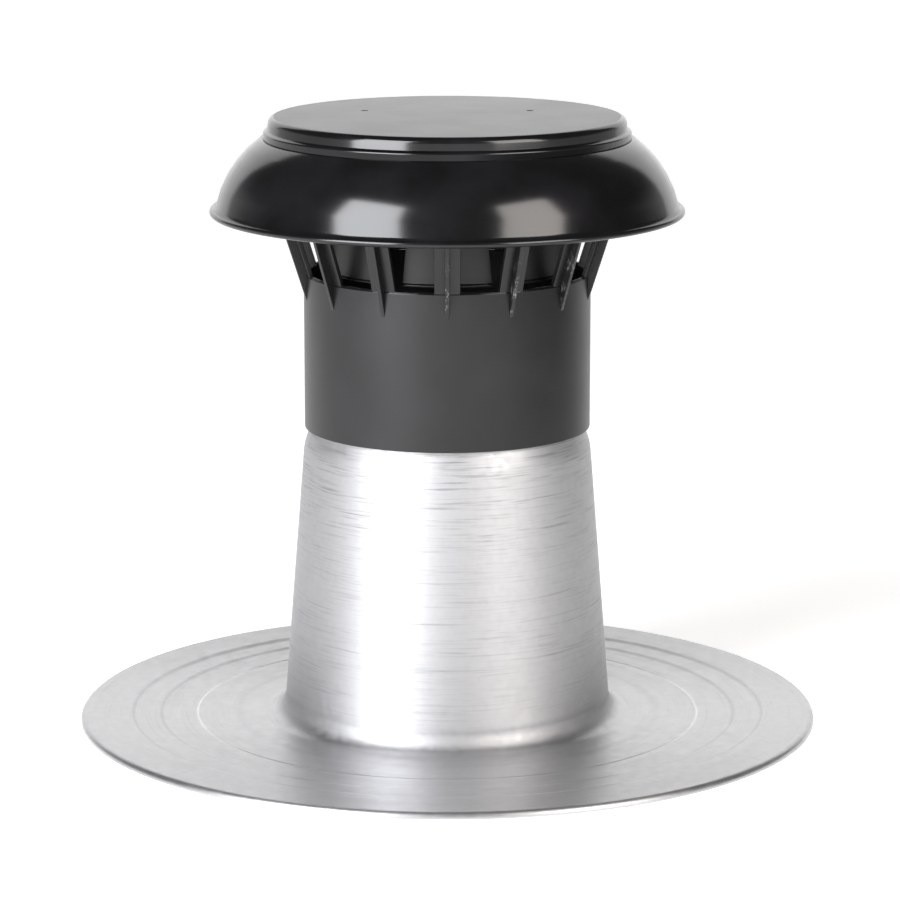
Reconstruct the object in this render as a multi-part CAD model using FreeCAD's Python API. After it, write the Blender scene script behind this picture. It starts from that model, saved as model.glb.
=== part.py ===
import FreeCAD, Part
import math
import os

# Roof vent flashing. A spun aluminium flange and stack carries a moulded vent cap, whose
# open windows sit under a domed rain hood. A lid closes the hood's top opening.
# Millimetres. The axis is Z, and the flange's turned-down rim stands on z = 0.

# Round sections are drawn in chords, which leave the true arc by no more than this
bend_sag = 0.5
dome_sag = 0.1               # finer, because the dome is the cap's outline

# Spun aluminium flashing
sheet = 1.2                  # wall of the spun sheet
flange_radius = 223.7        # outside of the turned-down rim
rim_height = 3.8             # top of the flange beside the rim
rim_bend = 3.3               # outside radius of the turned-down rim
plate_height = 2.2           # top of the plate round the stack
middle_plate_height = 2.9    # top of the plate between the two low steps
stack_foot_bend = 13.0       # where the stack runs out into the plate
scribed_ring_radius = 152.7  # inner of the three rings
scribed_ring_depth = 0.35
scribed_ring_width = 1.4
inner_step_radius = 174.8
outer_step_radius = 191.9
step_run = 2.6               # radial run of each low step
cone_foot_radius = 99.6      # outside of the cone, continued down to the plate
cone_head_radius = 86.4      # outside of the cone, continued up to the shoulder
shoulder_height = 168.5      # where the shoulder turns in from the cone
shoulder_rise = 10.0
shoulder_bend = 30.0
neck_radius = 83.0           # outside of the neck that enters the cap
neck_length = 43.5

# Vent cap moulding
neck_clearance = 0.3         # radial, between the neck and the skirt
skirt_wall = 2.7
skirt_overlap = 42.4         # how far the skirt hangs below the neck's top edge
skirt_length = 94.3          # lower edge of the skirt to the window sill
skirt_edge = 1.0             # rounding of the skirt's lower edge
stop_ledge = 2.8             # the ledge that rests on the neck's top edge reaches in by this
stop_height = 2.5
post_count = 14
post_width = 15.0
post_wall = 2.7
post_root = 1.6              # how far the posts run down into the skirt's wall
post_head_gap = 1.5          # the posts end this far under the seam
fin_width = 2.4
fin_reach = 5.0              # how far each fin stands out from its post
fin_root = 1.0               # how far the fins run into the posts and the skirt
seam_rise = 79.5             # window sill to the seam under the lid
dome_radius = 66.3           # outside of the hood's arc
dome_middle_radius = 73.4    # the arc's centre, from the axis
dome_middle_drop = 54.2      # the arc's centre, below the seam
hood_wall = 2.5
hood_drop = 45.0             # seam to the hood's lower edge
bead_radius = 142.2          # outside of the rounded rim bead
bead_round = 1.8
bead_flare = 3.2             # height of the flare between the dome and the bead

# Lid moulding
lid_wall = 2.5
lid_rise = 14.4              # seam to the flat top
lid_edge = 2.2               # rounding of the flat top's edge
lid_top_radius = 106.4
lid_side_radius = 107.2      # foot of the upper band
lid_side_drop = 6.8          # flat top to the foot of the upper band
lid_band_inset = 1.9         # lower band, in from the hood's edge at the seam
lid_band_rise = 4.4          # seam to the top of the lower band
lid_band_edge = 1.2
spigot_depth = 7.0
spigot_wall = 2.2
spigot_clearance = 0.3       # radial, between the spigot and the hood's opening
dimple_radius = 2.2
dimple_depth = 0.8
dimple_spread = 48.0         # each dimple, to the side of the axis
dimple_back = 18.0           # each dimple, behind the axis
slat_count = 7
slat_inset = 7.3             # between the slats and the bore of the skirt, radially
slat_wall = 2.0
slat_length = 89.7
slat_foot_width = 52.2
slat_draft = math.radians(5.4)

# Worked out from the sizes above
neck_foot = shoulder_height + shoulder_rise
neck_top = neck_foot + neck_length
skirt_bore = neck_radius + neck_clearance
skirt_radius = skirt_bore + skirt_wall
skirt_bottom = neck_top - skirt_overlap
sill = skirt_bottom + skirt_length
seam = sill + seam_rise
dome_middle = seam - dome_middle_drop
hood_bottom = seam - hood_drop
lid_top = seam + lid_rise
lid_underside = lid_top - lid_wall

axis = FreeCAD.Vector(0, 0, 1)
centre = FreeCAD.Vector(0, 0, 0)


def point(radius, height):
    return FreeCAD.Vector(radius, 0, height)


def arc(middle, radius, start, end, sag=bend_sag):
    """Points along an arc in the XZ plane, from one angle above the horizontal to another."""
    chord_turn = 2 * math.acos(1 - min(sag / radius, 1))
    count = math.ceil(abs(end - start) / chord_turn)
    angles = [start + (end - start) * i / count for i in range(count + 1)]
    return [middle + point(radius * math.cos(angle), radius * math.sin(angle)) for angle in angles]


def rounded(corners):
    """The path through (radius, height, bend) corners, each corner turned on its own bend."""
    path = []
    for i, (radius, height, bend) in enumerate(corners):
        here = point(radius, height)
        if bend == 0:
            path.append(here)
            continue
        back = (point(*corners[i - 1][:2]) - here).normalize()
        ahead = (point(*corners[(i + 1) % len(corners)][:2]) - here).normalize()
        half_corner = back.getAngle(ahead) / 2
        middle = here + (back + ahead).normalize() * (bend / math.sin(half_corner))
        outward = here - middle
        facing = math.atan2(outward.z, outward.x)
        half_turn = math.pi / 2 - half_corner
        side = math.copysign(half_turn, back.x * ahead.z - back.z * ahead.x)
        path += arc(middle, bend, facing + side, facing - side)
    return path


def parallel(corners, distance):
    """The same corners moved sideways, to the right of their direction, with bends to match."""
    moved = []
    for i, (radius, height, bend) in enumerate(corners):
        here = point(radius, height)
        before = point(*corners[max(i - 1, 0)][:2])
        after = point(*corners[min(i + 1, len(corners) - 1)][:2])
        arriving = (here - before if i else after - here).normalize()
        leaving = (after - here if i < len(corners) - 1 else here - before).normalize()
        side_in = point(arriving.z, -arriving.x)
        side_out = point(leaving.z, -leaving.x)
        corner = here + (side_in + side_out) * (distance / (1 + side_in.dot(side_out)))
        turns_left = arriving.x * leaving.z - arriving.z * leaving.x > 0
        moved_bend = bend + math.copysign(distance, 1 if turns_left else -1) if bend else 0
        moved.append((corner.x, corner.z, moved_bend))
    return moved


def face_through(path):
    return Part.Face(Part.makePolygon(path + [path[0]]))


def revolved(path):
    return face_through(path).revolve(centre, axis, 360)


def slab(path, width):
    """A flat plate in the XZ plane, centred on it, with the given outline."""
    plate = face_through(path).extrude(FreeCAD.Vector(0, width, 0))
    plate.translate(FreeCAD.Vector(0, -width / 2, 0))
    return plate


def ring_of(shape, count):
    """Copies of a shape at equal steps round the axis, the first one facing -Y."""
    copies = []
    for i in range(count):
        copy = shape.copy()
        copy.rotate(centre, axis, -90 + 360 * i / count)
        copies.append(copy)
    return copies


def dome_angle(height, inset=0):
    """Angle above the horizontal at which the hood's arc, moved in by an inset, is at a height."""
    return math.asin((height - dome_middle) / (dome_radius - inset))


def dome_reach(height, inset=0):
    """Radius of the hood's arc at a height, moved in by an inset."""
    return dome_middle_radius + (dome_radius - inset) * math.cos(dome_angle(height, inset))


def dome_arc(start, end, inset=0, sag=bend_sag):
    """Points along the hood's arc from one height to another, moved in by an inset."""
    middle = point(dome_middle_radius, dome_middle)
    return arc(middle, dome_radius - inset, dome_angle(start, inset), dome_angle(end, inset), sag)


def make_flashing():
    """One spun sheet: neck, shoulder, cone, plate with three rings, and turned-down rim."""
    step = step_run / 2
    groove = scribed_ring_width / 2
    top_side = [
        (neck_radius, neck_top, 0),
        (neck_radius, neck_foot, 0),
        (cone_head_radius, shoulder_height, shoulder_bend),
        (cone_foot_radius, plate_height, stack_foot_bend),
        (inner_step_radius - step, plate_height, 0),
        (inner_step_radius + step, middle_plate_height, 0),
        (outer_step_radius - step, middle_plate_height, 0),
        (outer_step_radius + step, rim_height, 0),
        (flange_radius, rim_height, rim_bend),
        (flange_radius, 0, 0),
    ]
    under_side = parallel(top_side, sheet)
    shell = revolved(rounded(top_side + under_side[::-1]))
    scribed_ring = revolved([
        point(scribed_ring_radius - groove, plate_height + scribed_ring_depth),
        point(scribed_ring_radius, plate_height - scribed_ring_depth),
        point(scribed_ring_radius + groove, plate_height + scribed_ring_depth),
    ])
    return shell.cut(scribed_ring)


def make_skirt():
    """The sleeve over the neck, with a ledge inside that rests on the neck's top edge."""
    return revolved(rounded([
        (skirt_bore, skirt_bottom, 0),
        (skirt_radius, skirt_bottom, skirt_edge),
        (skirt_radius, sill, 0),
        (skirt_bore, sill, 0),
        (skirt_bore, neck_top + stop_height, 0),
        (skirt_bore - stop_ledge, neck_top + stop_height, 0),
        (skirt_bore - stop_ledge, neck_top, 0),
        (skirt_bore, neck_top, 0),
    ]))


def make_hood():
    """The dome with its flared bead, open underneath and at the top."""
    bead_middle = point(bead_radius - bead_round, hood_bottom + bead_round)
    flare_top = hood_bottom + 2 * bead_round + bead_flare
    bead = arc(bead_middle, bead_round, -math.pi / 2, math.pi / 2)
    outside = dome_arc(flare_top, seam, sag=dome_sag)
    inside = dome_arc(seam, hood_bottom, inset=hood_wall)
    return revolved(bead + outside + inside)


def make_posts_and_fins():
    """Leaning posts from the skirt's wall up to the hood, each with a fin down its middle."""
    lean = (dome_reach(seam) - skirt_radius) / seam_rise
    foot = sill - post_root
    head = seam - post_head_gap

    def face_radius(height):
        return skirt_radius + lean * (height - sill)

    cone = revolved([
        point(face_radius(foot) - post_wall, foot),
        point(face_radius(foot), foot),
        point(face_radius(head), head),
        point(face_radius(head) - post_wall, head),
    ])
    sector = slab([
        point(skirt_bore / 2, foot),
        point(bead_radius, foot),
        point(bead_radius, head),
        point(skirt_bore / 2, head),
    ], post_width)
    posts = [cone.common(one) for one in ring_of(sector, post_count)]

    fin_foot = sill - (fin_reach + fin_root) / lean
    fin = slab([
        point(skirt_radius - fin_root, fin_foot),
        point(face_radius(head) + fin_reach, head),
        point(face_radius(head) - fin_root, head),
        point(skirt_radius - fin_root, sill),
    ], fin_width)
    under_the_dome = revolved(
        [point(0, fin_foot), point(bead_radius, fin_foot)]
        + dome_arc(dome_middle, seam, inset=hood_wall / 2)
        + [point(0, seam)])
    fins = [one.common(under_the_dome) for one in ring_of(fin, post_count)]
    return posts + fins


def make_vent_cap():
    body = make_skirt().fuse([make_hood()] + make_posts_and_fins())
    opening_radius = dome_reach(seam, hood_wall)
    opening_depth = spigot_depth + spigot_clearance
    opening = Part.makeCylinder(opening_radius, 2 * opening_depth, point(0, seam - opening_depth))
    return body.cut(opening).removeSplitter()


def make_lid():
    """Two-band cover with a spigot for the hood's opening and a ring of slats hanging inside."""
    spigot_radius = dome_reach(seam, hood_wall) - spigot_clearance
    band_radius = dome_reach(seam) - lid_band_inset
    cover = revolved(rounded([
        (0, lid_top, 0),
        (lid_top_radius, lid_top, lid_edge),
        (lid_side_radius, lid_top - lid_side_drop, 0),
        (band_radius, seam + lid_band_rise, lid_band_edge),
        (band_radius, seam, 0),
        (spigot_radius, seam, 0),
        (spigot_radius, seam - spigot_depth, 0),
        (spigot_radius - spigot_wall, seam - spigot_depth, 0),
        (spigot_radius - spigot_wall, lid_underside, 0),
        (0, lid_underside, 0),
    ]))
    for side in (-1, 1):
        place = FreeCAD.Vector(side * dimple_spread, dimple_back, lid_top - dimple_depth)
        cover = cover.cut(Part.makeCylinder(dimple_radius, 2 * dimple_depth, place))

    slat_radius = skirt_bore - slat_inset
    slat_bottom = lid_underside - slat_length
    slat_top = lid_underside + lid_wall / 2
    tube = revolved([
        point(slat_radius - slat_wall, slat_bottom),
        point(slat_radius, slat_bottom),
        point(slat_radius, slat_top),
        point(slat_radius - slat_wall, slat_top),
    ])
    foot_half = slat_foot_width / 2
    head_half = foot_half - math.tan(slat_draft) * (slat_top - slat_bottom)
    blade = slab([
        point(-foot_half, slat_bottom),
        point(foot_half, slat_bottom),
        point(head_half, slat_top),
        point(-head_half, slat_top),
    ], slat_radius + slat_wall)
    blade.translate(FreeCAD.Vector(0, (slat_radius + slat_wall) / 2, 0))
    blade.rotate(centre, axis, -90)
    slats = [tube.common(one) for one in ring_of(blade, slat_count)]
    return cover.fuse(slats).removeSplitter()


def main():
    os.makedirs("parts", exist_ok=True)
    nodes = {
        "flashing": make_flashing(),
        "vent_cap": make_vent_cap(),
        "lid": make_lid(),
    }
    for name, shape in nodes.items():
        box = shape.BoundBox
        print(name, "solids", len(shape.Solids), "valid", shape.isValid(), "volume", round(shape.Volume),
              "z", round(box.ZMin, 2), round(box.ZMax, 2), "x", round(box.XMin, 2), round(box.XMax, 2))
        shape.Solids[0].exportStep("parts/" + name + ".step")


main()
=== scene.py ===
import bpy
import bmesh
import math
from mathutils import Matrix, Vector


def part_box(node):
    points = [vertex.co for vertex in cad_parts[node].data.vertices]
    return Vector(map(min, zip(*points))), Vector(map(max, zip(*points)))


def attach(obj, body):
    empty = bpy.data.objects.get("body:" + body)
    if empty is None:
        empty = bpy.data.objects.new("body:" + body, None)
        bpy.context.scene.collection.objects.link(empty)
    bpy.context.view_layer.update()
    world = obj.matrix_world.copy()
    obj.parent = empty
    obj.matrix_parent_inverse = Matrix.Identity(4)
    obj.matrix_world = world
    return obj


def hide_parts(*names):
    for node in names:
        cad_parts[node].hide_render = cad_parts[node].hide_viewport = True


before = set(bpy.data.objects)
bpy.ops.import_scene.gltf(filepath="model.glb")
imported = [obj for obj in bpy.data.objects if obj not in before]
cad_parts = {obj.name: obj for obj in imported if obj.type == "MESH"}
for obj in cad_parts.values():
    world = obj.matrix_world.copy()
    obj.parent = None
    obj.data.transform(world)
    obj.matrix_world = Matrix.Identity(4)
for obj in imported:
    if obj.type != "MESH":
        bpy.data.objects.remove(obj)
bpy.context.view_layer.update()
print("frame loaded:", sorted(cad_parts))

mm = 0.001
root = "root"
turnSteps = 240                 # segments round each turned piece
arcStep = math.radians(9)       # fineness of the rounded corners
leastBend = 0.2                 # mm, the tightest bend on the underside of the sheet
weldDistance = 0.002 * mm
levelNormal = 0.99              # upward part of the normal on a level face
slopeNormals = (0.15, 0.9)      # and on a sloping one


def linearFromHex(text):
    channels = []
    for i in (1, 3, 5):
        value = int(text[i:i + 2], 16) / 255
        channels.append(value / 12.92 if value <= 0.04045 else ((value + 0.055) / 1.055) ** 2.4)
    return (*channels, 1.0)


# a setting that is another node's socket is linked, and any other is set
def addNode(tree, kind, settings):
    node = tree.nodes.new(kind)
    for name, value in settings.items():
        if isinstance(value, bpy.types.NodeSocket):
            tree.links.new(value, node.inputs[name])
        elif isinstance(name, str) and hasattr(node, name):
            setattr(node, name, value)
        else:
            node.inputs[name].default_value = value
    return node


def freshMaterial(name):
    material = bpy.data.materials.new(name)
    material.use_nodes = True
    material.node_tree.nodes.clear()
    return material, material.node_tree


# an outline is a list of (radius, height, bend) in millimetres, bend being the rounding there
def arcPoints(middle, radius, start, end):
    count = max(3, math.ceil(abs(end - start) / arcStep))
    points = []
    for i in range(count + 1):
        angle = start + (end - start) * i / count
        points.append(middle + radius * Vector((math.cos(angle), math.sin(angle))))
    return points


def roundedOutline(corners):
    points = []
    for i, (radius, height, bend) in enumerate(corners):
        here = Vector((radius, height))
        if bend == 0:
            points.append(here)
            continue
        back = (Vector(corners[i - 1][:2]) - here).normalized()
        ahead = (Vector(corners[(i + 1) % len(corners)][:2]) - here).normalized()
        halfCorner = back.angle(ahead) / 2
        middle = here + (back + ahead).normalized() * bend / math.sin(halfCorner)
        outward = here - middle
        facing = math.atan2(outward.y, outward.x)
        side = math.copysign(math.pi / 2 - halfCorner, back.x * ahead.y - back.y * ahead.x)
        points += arcPoints(middle, bend, facing + side, facing - side)
    return points


def movedSideways(corners, distance):
    moved = []
    last = len(corners) - 1
    for i, (radius, height, bend) in enumerate(corners):
        here = Vector((radius, height))
        before = Vector(corners[max(i - 1, 0)][:2])
        after = Vector(corners[min(i + 1, last)][:2])
        arriving = (here - before if i else after - here).normalized()
        leaving = (after - here if i < last else here - before).normalized()
        sideIn = Vector((arriving.y, -arriving.x))
        sideOut = Vector((leaving.y, -leaving.x))
        corner = here + (sideIn + sideOut) * (distance / (1 + sideIn.dot(sideOut)))
        turnsLeft = arriving.x * leaving.y - arriving.y * leaving.x > 0
        if bend:
            bend = max(bend + (distance if turnsLeft else -distance), leastBend)
        moved.append((corner.x, corner.y, bend))
    return moved


def pieceFrom(name, shape, material, node):
    mesh = bpy.data.meshes.new(name)
    bmesh.ops.recalc_face_normals(shape, faces=shape.faces)
    shape.to_mesh(mesh)
    shape.free()
    mesh.polygons.foreach_set("use_smooth", [True] * len(mesh.polygons))
    mesh.materials.append(material)
    piece = bpy.data.objects.new(name, mesh)
    bpy.context.scene.collection.objects.link(piece)
    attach(piece, root)
    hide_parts(node)
    return piece


def evenShading(piece):
    even = piece.modifiers.new("even_shading", "WEIGHTED_NORMAL")
    even.keep_sharp = True


# gives the chosen faces a finish of their own
def finishFaces(piece, material, chosen):
    piece.data.materials.append(material)
    for face in piece.data.polygons:
        if chosen(face):
            face.material_index = len(piece.data.materials) - 1


# the closed outline is spun round the axis, and points on the axis become one
def turned(points):
    shape = bmesh.new()
    ring = [shape.verts.new((point.x * mm, 0, point.y * mm)) for point in points]
    edges = [shape.edges.new((ring[i - 1], ring[i])) for i in range(len(ring))]
    bmesh.ops.spin(shape, geom=ring + edges, axis=(0, 0, 1), cent=(0, 0, 0),
                   steps=turnSteps, angle=2 * math.pi)
    bmesh.ops.remove_doubles(shape, verts=shape.verts, dist=weldDistance)
    return shape


# Aluminium sheet spun over a former: a bright grey metal whose surface is all fine turning
# lines, so lights smear across the lines into tall bands and the flange looks brushed in circles
spunAluminium = {
    "colour": "#C1C1C2",
    "shade": "#8C8C90",                            # in the deeper lines, and as painted shade in the flange's creases
    "ringHighlight": "#F4F4F4",                             # painted highlight along the scribed ring
    "roughness": (3.9 * mm, 8 * mm, 0.41, 0.57),   # by height, as a fade: smoother on the flange
    "anisotropy": 0.45,
    "smearTurn": 0.25,                             # a quarter turn, so lights smear across the lines
    # turning lines: spacing, how often they stop and start on the way round, and detail
    "fineLines": (0.7 * mm, 1.0, 3.0),             # real ones are about 0.2 mm apart, drawn coarser to show
    "deepLines": (0.98 * mm, 2.4, 2.5),            # coarser in the same way
    "lineGroups": (7 * mm, 1.0, 2.0),              # the tool pressed harder in some bands than in others
    "lineBreakUp": 0.6,
    "fineDepth": 0.006 * mm,
    "deepDepth": 0.012 * mm,
    # fades: as the reading goes from the first value to the second, the strength goes from the
    # third to the last
    "deepFade": (0.52, 0.76, 0.0, 1.0),
    "groupFade": (0.35, 0.65, 0.1, 1.0),
    "coneFade": (4 * mm, 30 * mm, 0.3, 0.75),      # by height: few deep lines on the flat flange
    "neckFade": (110 * mm, 160 * mm, 1.0, 2.0),    # and the deepest near the top of the stack
    "footRise": (9.6 * mm, 14 * mm, 0.0, 0.45),    # the ring that the tool's last pass left round the foot
    "footFall": (14 * mm, 18.4 * mm, 1.0, 0.0),
    "flangeFade": (4.5 * mm, 6 * mm, 1.0, 0.0),
    "creaseShade": [(128, 4.5, 0.15), (174.8, 1.8, 0.35), (191.9, 1.8, 0.35)],    # painted shade in the flange's creases: radius, half width, greyness
    "scribedHighlight": (1.1, 0.9),                         # half width and brightness of the painted highlight
    "blotch": 5 * mm,                              # dull patches left where the grease was wiped off
    "blotchDetail": 3.0,
    "blotchFade": (0.3, 0.7, 0.9, 1.1),
}


def makeSpunAluminium():
    look = spunAluminium
    material, tree = freshMaterial("spun_aluminium")
    place = addNode(tree, "ShaderNodeTexCoord", {}).outputs["Object"]
    axes = addNode(tree, "ShaderNodeSeparateXYZ", {"Vector": place})
    height = axes.outputs["Z"]
    flat = addNode(tree, "ShaderNodeCombineXYZ", {"X": axes.outputs["X"], "Y": axes.outputs["Y"]})
    length = addNode(tree, "ShaderNodeVectorMath", {"operation": "LENGTH", 0: flat.outputs["Vector"]})
    radius = length.outputs["Value"]
    facing = addNode(tree, "ShaderNodeVectorMath", {"operation": "NORMALIZE", 0: flat.outputs["Vector"]})
    # distance along the sheet's section, so that one pattern runs over flange, cone and neck
    along = addNode(tree, "ShaderNodeMath", {"operation": "SUBTRACT", 0: radius, 1: height})

    # lines that run round the axis
    lines = {}
    for name in ("fineLines", "deepLines", "lineGroups"):
        spacing, starts, detail = look[name]
        across = addNode(tree, "ShaderNodeMath", {
            "operation": "DIVIDE", 0: along.outputs["Value"], 1: spacing})
        turn = addNode(tree, "ShaderNodeVectorMath", {
            "operation": "SCALE", 0: facing.outputs["Vector"], "Scale": starts})
        split = addNode(tree, "ShaderNodeSeparateXYZ", {"Vector": turn.outputs["Vector"]})
        spot = addNode(tree, "ShaderNodeCombineXYZ", {
            "X": split.outputs["X"], "Y": split.outputs["Y"], "Z": across.outputs["Value"]})
        noise = addNode(tree, "ShaderNodeTexNoise", {
            "Vector": spot.outputs["Vector"], "Scale": 1.0, "Detail": detail,
            "Roughness": look["lineBreakUp"]})
        lines[name] = noise.outputs["Fac"]

    blotches = addNode(tree, "ShaderNodeTexNoise", {
        "Vector": place, "Scale": 1 / look["blotch"], "Detail": look["blotchDetail"]})
    fades = {}
    for name, reading in (
        ("deepFade", lines["deepLines"]),
        ("groupFade", lines["lineGroups"]),
        ("coneFade", height),
        ("neckFade", height),
        ("footRise", height),
        ("footFall", height),
        ("flangeFade", height),
        ("roughness", height),
        ("blotchFade", blotches.outputs["Fac"]),
    ):
        low, high, atLow, atHigh = look[name]
        fade = addNode(tree, "ShaderNodeMapRange", {
            "Value": reading, "From Min": low, "From Max": high, "To Min": atLow, "To Max": atHigh})
        fades[name] = fade.outputs["Result"]

    products = {}
    for name, factors in {
        "deep": ("deepFade", "groupFade", "coneFade", "neckFade"),
        "foot": ("footRise", "footFall", "groupFade"),
        "rough": ("roughness", "blotchFade"),
    }.items():
        product = fades[factors[0]]
        for factor in factors[1:]:
            times = addNode(tree, "ShaderNodeMath", {"operation": "MULTIPLY", 0: product, 1: fades[factor]})
            product = times.outputs["Value"]
        products[name] = product
    deepest = addNode(tree, "ShaderNodeMath", {
        "operation": "MAXIMUM", 0: products["deep"], 1: products["foot"]})
    deep = deepest.outputs["Value"]

    # how near a point of the flange is to a ring round the axis
    def nearRing(ringRadius, halfWidth, most):
        away = addNode(tree, "ShaderNodeMath", {"operation": "SUBTRACT", 0: radius, 1: ringRadius * mm})
        apart = addNode(tree, "ShaderNodeMath", {"operation": "ABSOLUTE", 0: away.outputs["Value"]})
        near = addNode(tree, "ShaderNodeMapRange", {
            "Value": apart.outputs["Value"], "From Max": halfWidth * mm, "To Min": most, "To Max": 0.0})
        onFlange = addNode(tree, "ShaderNodeMath", {
            "operation": "MULTIPLY", 0: near.outputs["Result"], 1: fades["flangeFade"]})
        return onFlange.outputs["Value"]

    # painted shade: the flange is darkened at the foot of each step and in a band near the cone, as if
    # shade fell there
    for ringRadius, halfWidth, shadeStrength in look["creaseShade"]:
        deepest = addNode(tree, "ShaderNodeMath", {
            "operation": "MAXIMUM", 0: deep, 1: nearRing(ringRadius, halfWidth, shadeStrength)})
        deep = deepest.outputs["Value"]
    # painted highlight: the metal in the scribed ring is painted near white, in patches round the ring
    onScribedRing = nearRing(flashingShape["ringRadius"], *look["scribedHighlight"])
    scribedHighlightAt = addNode(tree, "ShaderNodeMath", {
        "operation": "MULTIPLY", 0: onScribedRing, 1: fades["groupFade"]})

    # a mix node's two colours are its inputs 6 and 7, and its result is output 2
    colour = addNode(tree, "ShaderNodeMix", {
        "data_type": "RGBA", "Factor": deep,
        6: linearFromHex(look["colour"]), 7: linearFromHex(look["shade"])})
    scribedHighlight = addNode(tree, "ShaderNodeMix", {
        "data_type": "RGBA", "Factor": scribedHighlightAt.outputs["Value"],
        6: colour.outputs[2], 7: linearFromHex(look["ringHighlight"])})
    fineBump = addNode(tree, "ShaderNodeBump", {
        "Height": lines["fineLines"], "Strength": 1.0, "Distance": look["fineDepth"]})
    deepBump = addNode(tree, "ShaderNodeBump", {
        "Height": deep, "Strength": 1.0, "Distance": look["deepDepth"], "invert": True,
        "Normal": fineBump.outputs["Normal"]})
    tangent = addNode(tree, "ShaderNodeTangent", {"direction_type": "RADIAL", "axis": "Z"})
    shader = addNode(tree, "ShaderNodeBsdfPrincipled", {
        "Metallic": 1.0,
        "Anisotropic": look["anisotropy"],
        "Anisotropic Rotation": look["smearTurn"],
        "Base Color": scribedHighlight.outputs[2],
        "Roughness": products["rough"],
        "Normal": deepBump.outputs["Normal"],
        "Tangent": tangent.outputs["Tangent"],
    })
    addNode(tree, "ShaderNodeOutputMaterial", {"Surface": shader.outputs["BSDF"]})
    return material


# Injection-moulded ABS, black. A polished tool leaves the hood and the lid's edges glossy, and
# a grained one leaves the skirt and the lid's flat satin
mouldedAbs = {
    "colour": "#0A0A0B",
    "paler": "#131214",                            # faint flow marks from the mould
    "scuffed": "#848486",                          # whitened by rubbing
    "ior": 1.53,                                   # usual for ABS
    "flowMark": 35 * mm,
    "flowDetail": 3.0,
    "grainDetail": 2.0,
    "scratch": (0.7 * mm, 0.7 * mm, 3.0 * mm),
    "scratchDetail": 3.0,
    "scuffPatch": 9 * mm,
    "scuffDetail": 2.0,
    # fades, as for the metal
    "flowFade": (0.4, 0.65, 0.0, 1.0),
    "roughnessSpread": (0.3, 0.7, 0.96, 1.06),     # times the finish's own roughness
    "scratchFade": (0.54, 0.6, 0.0, 1.0),
    "patchFade": (0.45, 0.6, 0.0, 1.0),
    "lowFade": (250 * mm, 262 * mm, 0.0, 1.0),     # by height, as far as the scuffs reach
    "highFade": (280 * mm, 300 * mm, 1.0, 0.0),
    "rightFade": (-15 * mm, 0.0, 0.0, 1.0),
    "frontFade": (-40 * mm, -20 * mm, 1.0, 0.0),
}


# the grain of a moulding tool is about 0.1 mm across, and is drawn coarser so that it shows
absFinishes = {
    "glossy_black_abs": {"roughness": 0.15, "grainSize": 2.0 * mm, "grainDepth": 0.002 * mm},
    "satin_black_abs": {"roughness": 0.37, "grainSize": 0.9 * mm, "grainDepth": 0.004 * mm},
    "grained_black_abs": {"roughness": 0.3, "grainSize": 1.6 * mm, "grainDepth": 0.002 * mm},
    "worn_satin_black_abs": {"roughness": 0.37, "grainSize": 0.9 * mm, "grainDepth": 0.004 * mm},
}


def makeMouldedAbs(name, scuffs=False):
    look = mouldedAbs
    finish = absFinishes[name]
    material, tree = freshMaterial(name)
    place = addNode(tree, "ShaderNodeTexCoord", {}).outputs["Object"]
    flow = addNode(tree, "ShaderNodeTexNoise", {
        "Vector": place, "Scale": 1 / look["flowMark"], "Detail": look["flowDetail"]})
    low, high, atLow, atHigh = look["flowFade"]
    paler = addNode(tree, "ShaderNodeMapRange", {
        "Value": flow.outputs["Fac"], "From Min": low, "From Max": high, "To Min": atLow, "To Max": atHigh})
    low, high, atLow, atHigh = look["roughnessSpread"]
    rough = addNode(tree, "ShaderNodeMapRange", {
        "Value": flow.outputs["Fac"], "From Min": low, "From Max": high,
        "To Min": finish["roughness"] * atLow, "To Max": finish["roughness"] * atHigh})
    colour = addNode(tree, "ShaderNodeMix", {
        "data_type": "RGBA", "Factor": paler.outputs["Result"],
        6: linearFromHex(look["colour"]), 7: linearFromHex(look["paler"])})
    if scuffs:
        # short upright scratches in patches, on the side that the cap was dragged on
        axes = addNode(tree, "ShaderNodeSeparateXYZ", {"Vector": place})
        spread = addNode(tree, "ShaderNodeVectorMath", {
            "operation": "DIVIDE", 0: place, 1: look["scratch"]})
        scratches = addNode(tree, "ShaderNodeTexNoise", {
            "Vector": spread.outputs["Vector"], "Scale": 1.0, "Detail": look["scratchDetail"]})
        patches = addNode(tree, "ShaderNodeTexNoise", {
            "Vector": place, "Scale": 1 / look["scuffPatch"], "Detail": look["scuffDetail"]})
        worn = 1.0
        for fadeName, reading in (
            ("scratchFade", scratches.outputs["Fac"]),
            ("patchFade", patches.outputs["Fac"]),
            ("lowFade", axes.outputs["Z"]),
            ("highFade", axes.outputs["Z"]),
            ("rightFade", axes.outputs["X"]),
            ("frontFade", axes.outputs["Y"]),
        ):
            low, high, atLow, atHigh = look[fadeName]
            fade = addNode(tree, "ShaderNodeMapRange", {
                "Value": reading, "From Min": low, "From Max": high, "To Min": atLow, "To Max": atHigh})
            times = addNode(tree, "ShaderNodeMath", {
                "operation": "MULTIPLY", 0: worn, 1: fade.outputs["Result"]})
            worn = times.outputs["Value"]
        colour = addNode(tree, "ShaderNodeMix", {
            "data_type": "RGBA", "Factor": worn, 6: colour.outputs[2], 7: linearFromHex(look["scuffed"])})
    grain = addNode(tree, "ShaderNodeTexNoise", {
        "Vector": place, "Scale": 1 / finish["grainSize"], "Detail": look["grainDetail"]})
    bump = addNode(tree, "ShaderNodeBump", {
        "Height": grain.outputs["Fac"], "Strength": 1.0, "Distance": finish["grainDepth"]})
    shader = addNode(tree, "ShaderNodeBsdfPrincipled", {
        "IOR": look["ior"],
        "Base Color": colour.outputs[2],
        "Roughness": rough.outputs["Result"],
        "Normal": bump.outputs["Normal"],
    })
    addNode(tree, "ShaderNodeOutputMaterial", {"Surface": shader.outputs["BSDF"]})
    return material


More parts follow.
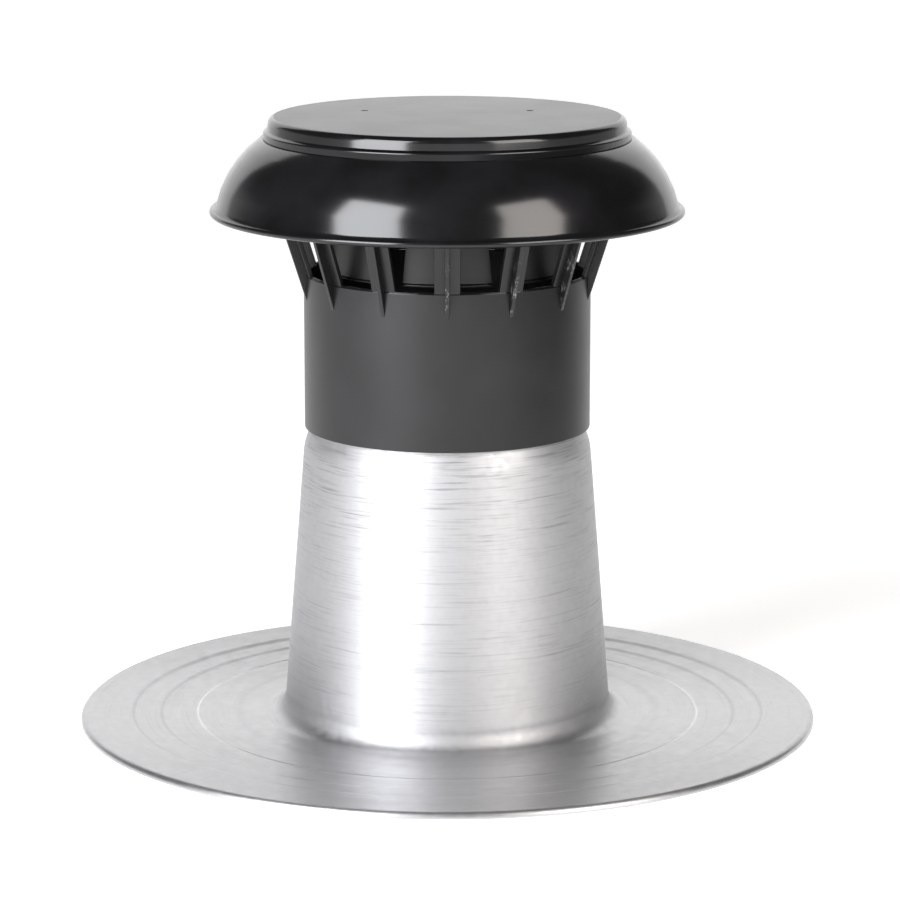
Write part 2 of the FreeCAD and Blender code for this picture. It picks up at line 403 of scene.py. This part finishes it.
glossyAbs = makeMouldedAbs("glossy_black_abs")
satinAbs = makeMouldedAbs("satin_black_abs")
grainedAbs = makeMouldedAbs("grained_black_abs")
wornAbs = makeMouldedAbs("worn_satin_black_abs", scuffs=True)
print("plastic finishes made")


# the flashing is one spun sheet
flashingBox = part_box("flashing")
flashingShape = {
    "sheet": 1.2,
    "flangeRadius": -flashingBox[0].x / mm - 0.01,
    "rimHeight": 3.8,
    "rimBend": 3.3,
    "plateHeight": 2.2,
    "middlePlateHeight": 2.9,
    "footBend": 13.0,
    "ringRadius": 152.7,         # the scribed inner ring
    "ringHalfWidth": 0.7,
    "ringDepth": 0.3,
    "ringBend": 0.2,
    "innerRipples": [(118, 0.06), (126, -0.12), (134, 0.08), (143, -0.06), (148, 0.08)],    # radius, rise
    "middleRipples": [(158, 0.12), (166, -0.06)],
    "ledgeRipples": [(183, 0.10)],
    "outerRipples": [(201, 0.08), (210, -0.05)],
    "rippleBend": 20.0,
    "innerStep": 174.8,
    "outerStep": 191.9,
    "stepRun": 4.4,
    "stepBend": 3.0,
    "coneFoot": 99.6,
    "coneHead": 86.4,
    "shoulderHeight": 168.5,
    "shoulderRise": 10.0,
    "shoulderBend": 30.0,
    "neckFootBend": 6.0,
    "neckRadius": 83.0,
    "neckTop": flashingBox[1].z / mm,
    "cutEdge": 0.15,             # rounding of the sheared edges
}


def makeFlashing():
    s = flashingShape
    half = s["stepRun"] / 2
    stack = [
        (s["neckRadius"], s["neckTop"], s["cutEdge"]),
        (s["neckRadius"], s["shoulderHeight"] + s["shoulderRise"], s["neckFootBend"]),
        (s["coneHead"], s["shoulderHeight"], s["shoulderBend"]),
        (s["coneFoot"], s["plateHeight"], s["footBend"]),
    ]

    # the flat zones are never quite flat: each is a little dished between the tool's passes
    def rippled(zone, height):
        return [(radius, height + lift, s["rippleBend"]) for radius, lift in s[zone]]

    ring = rippled("innerRipples", s["plateHeight"]) + [
        (s["ringRadius"] - s["ringHalfWidth"], s["plateHeight"], s["ringBend"]),
        (s["ringRadius"], s["plateHeight"] - s["ringDepth"], s["ringBend"]),
        (s["ringRadius"] + s["ringHalfWidth"], s["plateHeight"], s["ringBend"]),
    ] + rippled("middleRipples", s["plateHeight"])
    ledge = rippled("ledgeRipples", s["middlePlateHeight"])
    outer = rippled("outerRipples", s["rimHeight"])
    innerStep = [
        (s["innerStep"] - half, s["plateHeight"], s["stepBend"]),
        (s["innerStep"] + half, s["middlePlateHeight"], s["stepBend"]),
    ]
    outerStep = [
        (s["outerStep"] - half, s["middlePlateHeight"], s["stepBend"]),
        (s["outerStep"] + half, s["rimHeight"], s["stepBend"]),
    ]
    rim = [
        (s["flangeRadius"], s["rimHeight"], s["rimBend"]),
        (s["flangeRadius"], 0, s["cutEdge"]),
    ]
    underSide = movedSideways(stack + innerStep + outerStep + rim, s["sheet"])
    points = roundedOutline(stack + ring + innerStep + ledge + outerStep + outer + rim + underSide[::-1])
    piece = pieceFrom("flashing_sheet", turned(points), makeSpunAluminium(), "flashing")
    evenShading(piece)
    print("flashing made,", len(piece.data.polygons), "faces")


makeFlashing()


# the vent cap: skirt, posts, fins and hood in one moulding
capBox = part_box("vent_cap")
capShape = {
    "skirtBore": 83.3,
    "skirtRadius": 86.0,
    "skirtBottom": capBox[0].z / mm,
    "neckTop": flashingBox[1].z / mm,
    "ledge": 2.8,
    "ledgeHeight": 2.5,
    "sill": 273.9,
    "seam": capBox[1].z / mm,
    "edge": 0.5,
    "smallEdge": 0.3,
    "tightEdge": 0.2,
    "sillBevel": (0.5, 1.2),     # worn slope along the sill: how far in, and how far down
    "domeRadius": 66.3,
    "domeMiddleRadius": 73.4,
    "domeMiddleDrop": 54.2,
    "hoodWall": 2.5,
    "hoodDrop": 45.0,
    "beadRadius": capBox[1].x / mm,
    "beadRound": 1.9,
    "beadFlare": 2.0,
    "postCount": 14,
    "postWidth": 15.0,
    "postColumns": 8,            # faces across each post
    "postWall": 2.7,
    "postRoot": 1.6,
    "postHeadGap": 1.5,
    "finWidth": 2.4,
    "finReach": 5.0,
    "finRoot": 1.0,
    "finSearch": 0.01,           # how closely the fin's meeting with the dome is found
    "mouldRound": 0.35,
}


def domeReach(height, inset=0.0):
    s = capShape
    rise = height - (s["seam"] - s["domeMiddleDrop"])
    return s["domeMiddleRadius"] + math.sqrt((s["domeRadius"] - inset) ** 2 - rise ** 2)


def domeArc(start, end, inset=0.0):
    s = capShape
    middle = Vector((s["domeMiddleRadius"], s["seam"] - s["domeMiddleDrop"]))
    radius = s["domeRadius"] - inset
    startAngle = math.asin((start - middle.y) / radius)
    endAngle = math.asin((end - middle.y) / radius)
    return arcPoints(middle, radius, startAngle, endAngle)


def makeSkirt():
    s = capShape
    points = roundedOutline([
        (s["skirtBore"], s["skirtBottom"], s["tightEdge"]),
        (s["skirtRadius"], s["skirtBottom"], s["edge"]),
        (s["skirtRadius"], s["sill"] - s["sillBevel"][1], s["smallEdge"]),
        (s["skirtRadius"] - s["sillBevel"][0], s["sill"], s["smallEdge"]),
        (s["skirtBore"], s["sill"], s["edge"]),
        (s["skirtBore"], s["neckTop"] + s["ledgeHeight"], s["smallEdge"]),
        (s["skirtBore"] - s["ledge"], s["neckTop"] + s["ledgeHeight"], s["smallEdge"]),
        (s["skirtBore"] - s["ledge"], s["neckTop"], s["tightEdge"]),
        (s["skirtBore"], s["neckTop"], s["tightEdge"]),
    ])
    skirt = pieceFrom("cap_skirt", turned(points), satinAbs, "vent_cap")
    evenShading(skirt)
    # hands have polished the sill
    bevelFoot = (s["sill"] - s["sillBevel"][1] - s["tightEdge"]) * mm
    least, most = slopeNormals
    finishFaces(skirt, glossyAbs, lambda face: face.center.z > bevelFoot and least < face.normal.z < most)


def makeHood():
    s = capShape
    bottom = s["seam"] - s["hoodDrop"]
    flareTop = bottom + 2 * s["beadRound"] + s["beadFlare"]
    beadMiddle = Vector((s["beadRadius"] - s["beadRound"], bottom + s["beadRound"]))
    points = arcPoints(beadMiddle, s["beadRound"], -math.pi / 2, math.pi / 2)
    points += domeArc(flareTop, s["seam"])
    points += domeArc(s["seam"], bottom, s["hoodWall"])
    evenShading(pieceFrom("cap_hood", turned(points), glossyAbs, "vent_cap"))


# a flat outline in the radial plane, given a thickness
def plateShape(points, width):
    shape = bmesh.new()
    near = [shape.verts.new((point.x * mm, -width / 2 * mm, point.y * mm)) for point in points]
    face = shape.faces.new(near)
    pushed = bmesh.ops.extrude_face_region(shape, geom=[face])["geom"]
    moved = [part for part in pushed if isinstance(part, bmesh.types.BMVert)]
    bmesh.ops.translate(shape, verts=moved, vec=(0, width * mm, 0))
    return shape


# a closed section carried round the axis, as wide at each height as halfWidth says
def curvedStrip(section, halfWidth, columns):
    shape = bmesh.new()
    rows = []
    for point in section:
        half = halfWidth(point.y)
        row = []
        for i in range(columns + 1):
            across = half * (2 * i / columns - 1)
            outward = math.sqrt(point.x ** 2 - across ** 2)
            row.append(shape.verts.new((outward * mm, across * mm, point.y * mm)))
        rows.append(row)
    for i, row in enumerate(rows):
        before = rows[i - 1]
        for j in range(columns):
            shape.faces.new((before[j], before[j + 1], row[j + 1], row[j]))
    for j in (0, columns):
        shape.faces.new([row[j] for row in rows])
    return shape


# copies a shape that faces along X to equal places round the axis, the first facing the front
def ringOf(shape, count):
    mesh = bpy.data.meshes.new("one")
    shape.to_mesh(mesh)
    shape.free()
    ring = bmesh.new()
    for i in range(count):
        before = len(ring.verts)
        ring.from_mesh(mesh)
        ring.verts.ensure_lookup_table()
        turn = -math.pi / 2 + 2 * math.pi * i / count
        for vert in ring.verts[before:]:
            x, y, z = vert.co
            vert.co = (x * math.cos(turn) - y * math.sin(turn), x * math.sin(turn) + y * math.cos(turn), z)
    bpy.data.meshes.remove(mesh)
    return ring


def softenEdges(piece, width):
    bevel = piece.modifiers.new("moulded_edges", "BEVEL")
    bevel.width = width * mm
    bevel.segments = 3
    bevel.limit_method = "ANGLE"
    bevel.angle_limit = math.radians(40)
    bevel.harden_normals = True


def makePostsAndFins():
    s = capShape
    lean = (domeReach(s["seam"]) - s["skirtRadius"]) / (s["seam"] - s["sill"])
    foot = s["sill"] - s["postRoot"]
    head = s["seam"] - s["postHeadGap"]

    def faceRadius(height):
        return s["skirtRadius"] + lean * (height - s["sill"])

    # each post is a strip of the leaning cone
    section = [
        Vector((faceRadius(foot), foot)),
        Vector((faceRadius(head), head)),
        Vector((faceRadius(head) - s["postWall"], head)),
        Vector((faceRadius(foot) - s["postWall"], foot)),
    ]
    post = curvedStrip(section, lambda height: s["postWidth"] / 2, s["postColumns"])
    posts = pieceFrom("cap_posts", ringOf(post, s["postCount"]), satinAbs, "vent_cap")
    softenEdges(posts, s["mouldRound"])

    # each fin stands on its post and runs out to a point on the skirt and into the dome
    finFoot = s["sill"] - (s["finReach"] + s["finRoot"]) / lean
    inner = s["skirtRadius"] - s["finRoot"]
    outer = faceRadius(head) + s["finReach"]

    def finEdge(height):
        return inner + (outer - inner) * (height - finFoot) / (head - finFoot)

    low, high = s["sill"], head
    while high - low > s["finSearch"]:
        middle = (low + high) / 2
        if finEdge(middle) < domeReach(middle, s["hoodWall"] / 2):
            low = middle
        else:
            high = middle
    outline = [Vector((inner, finFoot)), Vector((finEdge(low), low))]
    outline += domeArc(low, head, s["hoodWall"] / 2)[1:]
    outline += [Vector((faceRadius(head) - s["finRoot"], head)), Vector((inner, s["sill"]))]
    fin = plateShape(outline, s["finWidth"])
    fins = pieceFrom("cap_fins", ringOf(fin, s["postCount"]), wornAbs, "vent_cap")
    softenEdges(fins, s["mouldRound"])


makeSkirt()
makeHood()
makePostsAndFins()
print("vent cap made")


# the lid: a shallow cover, its spigot, and the slats that hang inside the cap
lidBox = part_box("lid")
lidShape = {
    "top": lidBox[1].z / mm,
    "crown": 1.2,                # how far the top falls from its middle to its edge
    "crownSteps": 12,
    "topRadius": 106.4,
    "topEdge": 4.2,
    "sideRadius": 107.2,
    "sideDrop": 8.7,
    "bandInset": 1.9,
    "bandRise": 4.4,
    "bandEdge": 1.2,
    "edge": 0.3,
    "tightEdge": 0.2,
    "wall": 2.5,
    "spigotDepth": 7.0,
    "spigotWall": 2.2,
    "spigotClearance": 0.3,
    "grainMargin": 0.1,          # the grain ends this far under the flat's edge
    "sharpAngle": math.radians(35),
    "dimpleRadius": 2.4,
    "dimpleTaper": 0.1,          # share that a dimple widens and narrows by, from its middle
    "dimpleSides": 32,
    "dimpleDepth": 1.3,
    "dimpleSpread": 49.5,
    "dimpleBack": 18.0,
    "slatCount": 7,
    "slatRadius": 76.0,
    "slatWall": 2.0,
    "slatBottom": lidBox[0].z / mm,
    "slatFootWidth": 52.2,
    "slatDraft": math.radians(5.4),
    "slatColumns": 12,           # faces across each slat
    "slatLip": 0.5,              # a rounded lip along each slat's foot
    "slatLipHeight": 2.0,
    "slatEdge": 0.25,
    "slatSharpAngle": math.radians(50),
}


# a small pit with a flat floor is cut into the lid on each side of the middle
def cutDimples(cover):
    s = lidShape
    cutterHeight = 4 * s["dimpleDepth"]
    middleHeight = s["top"] - s["dimpleDepth"] + cutterHeight / 2
    pits = bmesh.new()
    for side in (-1, 1):
        before = len(pits.verts)
        bmesh.ops.create_cone(pits, cap_ends=True, segments=s["dimpleSides"],
                              radius1=(1 - s["dimpleTaper"]) * s["dimpleRadius"] * mm,
                              radius2=(1 + s["dimpleTaper"]) * s["dimpleRadius"] * mm,
                              depth=cutterHeight * mm)
        pits.verts.ensure_lookup_table()
        centre = Vector((side * s["dimpleSpread"], s["dimpleBack"], middleHeight)) * mm
        for vert in pits.verts[before:]:
            vert.co += centre
    mesh = bpy.data.meshes.new("dimple_cutter")
    pits.to_mesh(mesh)
    pits.free()
    mesh.materials.append(glossyAbs)
    cutter = bpy.data.objects.new("dimple_cutter", mesh)
    bpy.context.scene.collection.objects.link(cutter)
    dimples = cover.modifiers.new("dimples", "BOOLEAN")
    dimples.object = cutter
    dimples.operation = "DIFFERENCE"
    bpy.context.view_layer.update()
    graph = bpy.context.evaluated_depsgraph_get()
    cutMesh = bpy.data.meshes.new_from_object(cover.evaluated_get(graph))
    cover.modifiers.clear()
    cover.data = cutMesh
    bpy.data.objects.remove(cutter)
    cutMesh.set_sharp_from_angle(angle=s["sharpAngle"])


def makeLid():
    s = lidShape
    seam = capShape["seam"]
    spigot = domeReach(seam, capShape["hoodWall"]) - s["spigotClearance"]
    band = domeReach(seam) - s["bandInset"]
    underside = s["top"] - s["wall"] - s["crown"]
    top = []
    for i in range(s["crownSteps"]):
        share = i / s["crownSteps"]
        top.append((s["topRadius"] * share, s["top"] - s["crown"] * share ** 2, 0))
    points = roundedOutline(top + [
        (s["topRadius"], s["top"] - s["crown"], s["topEdge"]),
        (s["sideRadius"], s["top"] - s["sideDrop"], s["edge"]),
        (band, seam + s["bandRise"], s["bandEdge"]),
        (band, seam, s["edge"]),
        (spigot, seam, s["tightEdge"]),
        (spigot, seam - s["spigotDepth"], s["edge"]),
        (spigot - s["spigotWall"], seam - s["spigotDepth"], s["edge"]),
        (spigot - s["spigotWall"], underside, s["edge"]),
        (0, underside, 0),
    ])
    cover = pieceFrom("lid_cover", turned(points), glossyAbs, "lid")
    cutDimples(cover)
    evenShading(cover)
    # the flat of the lid is grained, and its edge and side are polished
    grainFoot = (s["top"] - s["crown"] - s["grainMargin"]) * mm
    finishFaces(cover, grainedAbs, lambda face: face.normal.z > levelNormal and face.center.z > grainFoot)

    slatTop = underside + s["wall"] / 2
    outer, inner, bottom = s["slatRadius"], s["slatRadius"] - s["slatWall"], s["slatBottom"]
    lipTop = bottom + s["slatLipHeight"]
    section = roundedOutline([
        (inner, bottom, s["slatEdge"]),
        (outer + s["slatLip"], bottom, s["slatLip"]),
        (outer + s["slatLip"], (bottom + lipTop) / 2, s["slatEdge"]),
        (outer, lipTop, s["slatEdge"]),
        (outer, slatTop, 0),
        (inner, slatTop, 0),
    ])

    def halfWidth(height):
        return s["slatFootWidth"] / 2 - math.tan(s["slatDraft"]) * (height - bottom)

    slat = curvedStrip(section, halfWidth, s["slatColumns"])
    slats = pieceFrom("lid_slats", ringOf(slat, s["slatCount"]), satinAbs, "lid")
    slats.data.set_sharp_from_angle(angle=s["slatSharpAngle"])
    evenShading(slats)
    least, most = slopeNormals
    finishFaces(slats, glossyAbs, lambda face: face.center.z < lipTop * mm and least < face.normal.z < most)


makeLid()
print("lid made")


# a pale sheet of paper that lies on the floor and rises in one curve, well behind the part
backdropSheet = {
    "floor": "#EAEAEA",
    "wall": "#D8D8D8",
    "shaded": "#7C7C7C",           # painted shade on the floor well to the right of the part
    "roughness": 0.9,
    "specular": 0.1,
    "halfWidth": 4.2,              # these five in metres
    "back": 5.0,
    "rise": 4.4,
    "bend": 1.3,
    "front": 6.0,
    "bendSteps": 16,
    # fades, as for the metal, with the places in metres
    "glow": (0.0, 0.4, 0.5, 0.7),  # its own light, stronger up the wall, where the softboxes give less
    "wallFade": (0.3, 0.9, 0.0, 1.0),
    "rightFade": (0.5, 1.2, 0.0, 1.0),
    "frontFade": (0.5, 1.2, 1.0, 0.0),
}


def makeBackdrop():
    look = backdropSheet
    back, bend = look["back"], look["bend"]
    profile = [(-look["front"], 0.0)]
    for i in range(look["bendSteps"] + 1):
        turn = math.pi / 2 * i / look["bendSteps"]
        profile.append((back - bend + bend * math.sin(turn), bend - bend * math.cos(turn)))
    profile.append((back, look["rise"]))
    corners = [(side * look["halfWidth"], y, z) for y, z in profile for side in (-1, 1)]
    faces = [(2 * i, 2 * i + 1, 2 * i + 3, 2 * i + 2) for i in range(len(profile) - 1)]
    mesh = bpy.data.meshes.new("backdrop")
    mesh.from_pydata(corners, [], faces)
    mesh.polygons.foreach_set("use_smooth", [True] * len(faces))
    backdrop = bpy.data.objects.new("backdrop", mesh)
    bpy.context.scene.collection.objects.link(backdrop)

    material, tree = freshMaterial("pale_backdrop")
    place = addNode(tree, "ShaderNodeTexCoord", {}).outputs["Object"]
    axes = addNode(tree, "ShaderNodeSeparateXYZ", {"Vector": place})
    fades = {}
    for name, axis in (("glow", "Z"), ("wallFade", "Z"), ("rightFade", "X"), ("frontFade", "Y")):
        low, high, atLow, atHigh = look[name]
        fade = addNode(tree, "ShaderNodeMapRange", {
            "Value": axes.outputs[axis],
            "From Min": low, "From Max": high, "To Min": atLow, "To Max": atHigh})
        fades[name] = fade.outputs["Result"]
    paper = addNode(tree, "ShaderNodeMix", {
        "data_type": "RGBA", "Factor": fades["wallFade"],
        6: linearFromHex(look["floor"]), 7: linearFromHex(look["wall"])})
    # painted shade: the floor to the right and in front is darkened, and its glow is taken away there
    shade = addNode(tree, "ShaderNodeMath", {
        "operation": "MULTIPLY", 0: fades["rightFade"], 1: fades["frontFade"]})
    lit = addNode(tree, "ShaderNodeMath", {"operation": "SUBTRACT", 0: 1.0, 1: shade.outputs["Value"]})
    colour = addNode(tree, "ShaderNodeMix", {
        "data_type": "RGBA", "Factor": lit.outputs["Value"],
        6: linearFromHex(look["shaded"]), 7: paper.outputs[2]})
    litGlow = addNode(tree, "ShaderNodeMath", {
        "operation": "MULTIPLY", 0: fades["glow"], 1: lit.outputs["Value"]})
    shader = addNode(tree, "ShaderNodeBsdfPrincipled", {
        "Roughness": look["roughness"],
        "Specular IOR Level": look["specular"],
        "Emission Color": linearFromHex("#FFFFFF"),
        "Emission Strength": litGlow.outputs["Value"],
        "Base Color": colour.outputs[2],
    })
    addNode(tree, "ShaderNodeOutputMaterial", {"Surface": shader.outputs["BSDF"]})
    mesh.materials.append(material)


# brightness of the air by direction, as fades along each axis: palest in front, near the
# horizon, dim overhead, and with some of it lost behind and on the right
airFades = {
    "Z": (0.05, 0.35, 1.2, 0.16),
    "Y": (-0.8, 0.2, 1.0, 0.5),
    "X": (0.1, 0.9, 1.0, 0.8),
}


def makeAir():
    world = bpy.data.worlds.new("studio_air")
    world.use_nodes = True
    tree = world.node_tree
    direction = addNode(tree, "ShaderNodeTexCoord", {}).outputs["Generated"]
    axes = addNode(tree, "ShaderNodeSeparateXYZ", {"Vector": direction})
    brightness = 1.0
    for axis, (low, high, atLow, atHigh) in airFades.items():
        fade = addNode(tree, "ShaderNodeMapRange", {
            "interpolation_type": "SMOOTHSTEP", "Value": axes.outputs[axis],
            "From Min": low, "From Max": high, "To Min": atLow, "To Max": atHigh})
        times = addNode(tree, "ShaderNodeMath", {
            "operation": "MULTIPLY", 0: brightness, 1: fade.outputs["Result"]})
        brightness = times.outputs["Value"]
    background = tree.nodes["Background"]
    background.inputs["Color"].default_value = linearFromHex("#FFFFFF")
    tree.links.new(brightness, background.inputs["Strength"])
    bpy.context.scene.world = world


# azimuth is in degrees from the camera's side, positive to the right, and the rest in metres
softboxes = {
    "key_softbox": {
        "azimuth": -43,
        "distance": 2.2,
        "bottom": 0.4,
        "top": 2.6,
        "width": 1.4,
        "radiance": 12.0,
        "colour": "#FAFBFF",
    },
    "fill_softbox": {
        "azimuth": 46,
        "distance": 2.2,
        "bottom": 0.6,
        "top": 2.6,
        "width": 1.3,
        "radiance": 6.5,
        "colour": "#FFFAF6",
    },
}


def makeSoftbox(name):
    box = softboxes[name]
    height = box["top"] - box["bottom"]
    data = bpy.data.lights.new(name, "AREA")
    data.shape = "RECTANGLE"
    data.size = box["width"]
    data.size_y = height
    data.energy = box["radiance"] * math.pi * box["width"] * height
    data.color = linearFromHex(box["colour"])[:3]
    light = bpy.data.objects.new(name, data)
    bpy.context.scene.collection.objects.link(light)
    turn = math.radians(box["azimuth"])
    light.location = (math.sin(turn) * box["distance"], -math.cos(turn) * box["distance"],
                      box["bottom"] + height / 2)
    light.rotation_euler = (math.pi / 2, 0, turn)


cameraSetting = {
    "place": (0, -2.267, 0.638),
    "tilt": math.radians(78.18),
    "sensorWidth": 36,
    "lens": 153.1,
    "shift": 0.003,
    "nearest": 0.05,
    "farthest": 50,
}


def makeCamera():
    setting = cameraSetting
    data = bpy.data.cameras.new("camera")
    data.sensor_width = setting["sensorWidth"]
    data.lens = setting["lens"]
    data.shift_x = setting["shift"]
    data.clip_start = setting["nearest"]
    data.clip_end = setting["farthest"]
    camera = bpy.data.objects.new("camera", data)
    camera.location = setting["place"]
    camera.rotation_euler = (setting["tilt"], 0, 0)
    bpy.context.scene.collection.objects.link(camera)
    bpy.context.scene.camera = camera


makeBackdrop()
makeAir()
for softboxName in softboxes:
    makeSoftbox(softboxName)
makeCamera()
bpy.context.scene.view_settings.view_transform = "Standard"
print("studio ready")
